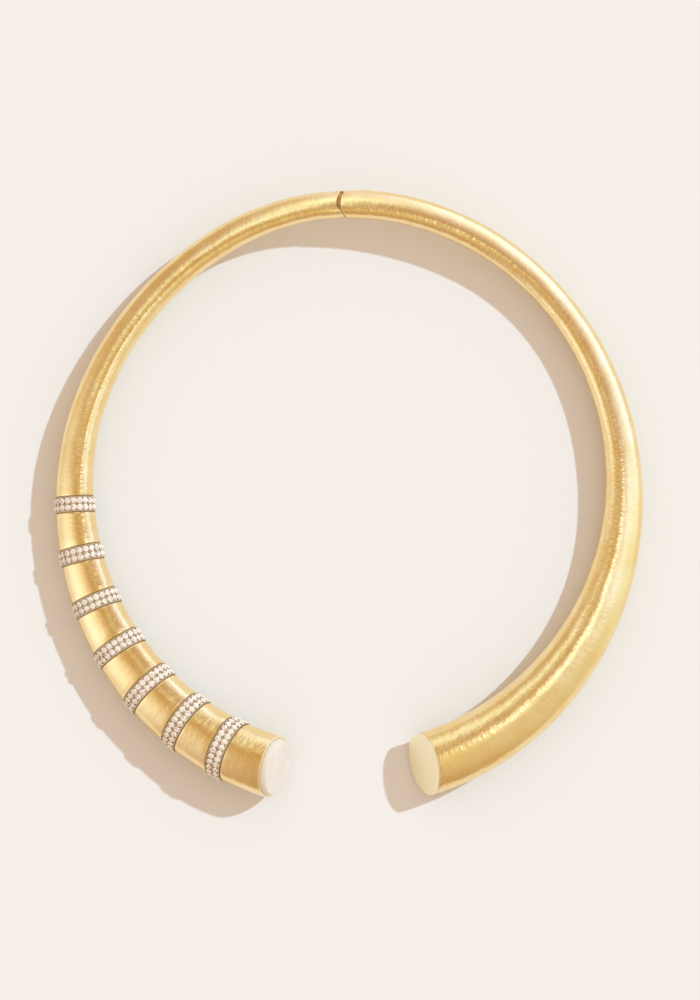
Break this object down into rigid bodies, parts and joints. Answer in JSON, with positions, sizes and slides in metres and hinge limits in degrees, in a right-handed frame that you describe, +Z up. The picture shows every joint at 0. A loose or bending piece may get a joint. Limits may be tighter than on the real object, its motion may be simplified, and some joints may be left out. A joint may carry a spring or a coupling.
{
  "type": "torc necklace",
  "caption": "Hinged torc necklace: two tapering gold arms that open at the nape, round there and oval at the front, with small-stone bands round one arm, an oval stone on its end and a flat polished end opposite.",
  "frame": {"origin": "middle of the footprint at the level of the table that the necklace lies on", "axes": "+Z up out of the table, +Y to the hinge at the nape, +X to the plain arm, with the open front at -Y"},
  "size_m": [0.138, 0.1418, 0.0137],
  "materials": {
    "satin_gold": "hand-brushed satin yellow gold",
    "polished_gold": "polished yellow gold",
    "milky_stone": "polished milky translucent stone",
    "pave_stones": "small colourless cut stones in a darkened white-metal setting"
  },
  "bodies": {
    "right_half": {"right_arm": "satin_gold", "hinge_pin": "polished_gold"},
    "left_half": {"left_arm": "satin_gold", "end_stone": "milky_stone", "pave_band_1": "pave_stones", "pave_band_2": "pave_stones", "pave_band_3": "pave_stones", "pave_band_4": "pave_stones", "pave_band_5": "pave_stones", "pave_band_6": "pave_stones", "pave_band_7": "pave_stones"}
  },
  "joints": [
    {"name": "nape_hinge", "type": "hinge", "parent": "right_half", "child": "left_half", "pos_m": [0.00266, 0.06762, 0.00895], "axis": [0, 0, -1], "range_deg": [0, 35], "stiffness_Nm_per_rad": 0.15, "springref_deg": -17.19}
  ]
}
